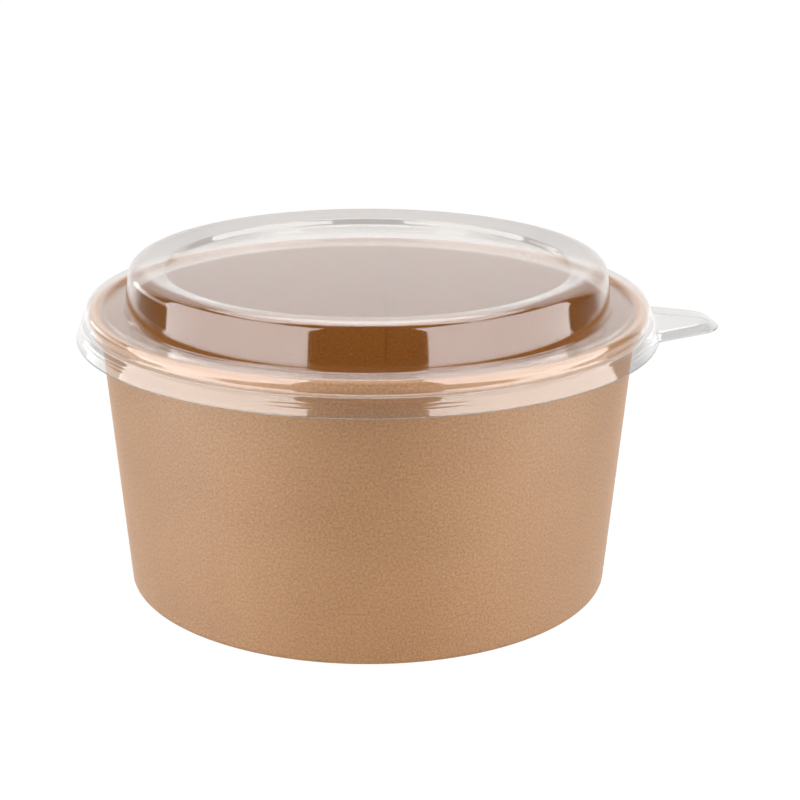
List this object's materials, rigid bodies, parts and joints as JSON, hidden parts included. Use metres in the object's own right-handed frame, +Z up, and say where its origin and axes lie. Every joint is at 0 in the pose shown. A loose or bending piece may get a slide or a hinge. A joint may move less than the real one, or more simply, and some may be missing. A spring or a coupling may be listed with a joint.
{
  "type": "takeaway salad bowl with lid",
  "caption": "Round kraft paper salad bowl with tapered wall, rolled rim and recessed base, closed by a clear domed press-on lid with a pull tab.",
  "frame": {"origin": "middle of the object's bounding box, tab included, on the surface it stands on; the bowl's own axis is 8.2 mm from it towards -X", "axes": "+Z up; +X towards the lid's pull tab; -Y the side that the picture was taken from"},
  "size_m": [0.171, 0.1546, 0.0872],
  "materials": {
    "kraft_board": "uncoated brown kraft outside, smooth moisture coating inside",
    "clear_lid": "clear, colourless, glossy thermoformed sheet"
  },
  "bodies": {
    "root": {"wall": "kraft_board", "base": "kraft_board", "lid": "clear_lid"}
  },
  "joints": []
}
